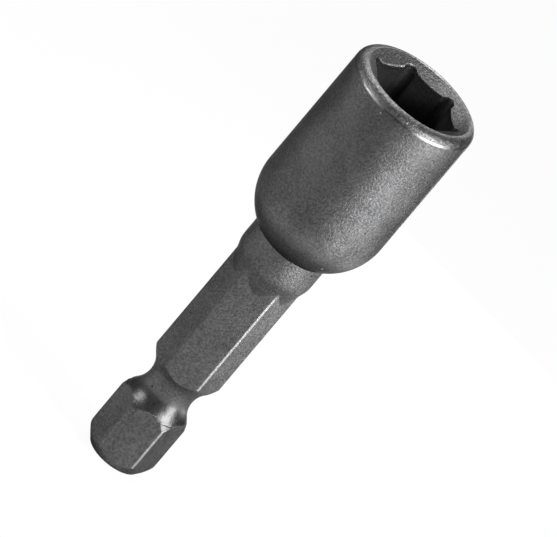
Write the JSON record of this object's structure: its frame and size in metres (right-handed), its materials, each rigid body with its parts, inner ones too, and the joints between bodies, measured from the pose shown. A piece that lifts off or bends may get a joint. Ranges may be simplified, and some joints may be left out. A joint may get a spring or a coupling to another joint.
{
  "type": "magnetic nut setter",
  "caption": "Round socket with a hexagonal, magnet-floored pocket and lead-in mouth, pressed onto a grooved hexagonal drive shank; holds and turns a hex nut or screw head.",
  "frame": {"origin": "centre of the flat end face of the drive shank", "axes": "+Z along the tool's axis from the shank end to the mouth; -Y is the outward normal of one flat of the shank"},
  "size_m": [0.013, 0.013, 0.0469],
  "materials": {
    "shank_steel": "blasted and phosphated, matt grey, brighter where the groove is turned",
    "socket_steel": "blasted and phosphated, satin grey with a fine speckle",
    "magnet_nickel": "nickel plated, scuffed",
    "bush_brass": "turned, dull",
    "adhesive": "cured epoxy"
  },
  "bodies": {
    "root": {"drive_shank": "shank_steel", "socket_body": "socket_steel", "magnet": "magnet_nickel", "magnet_bush": "bush_brass", "magnet_adhesive": "adhesive"}
  },
  "joints": []
}
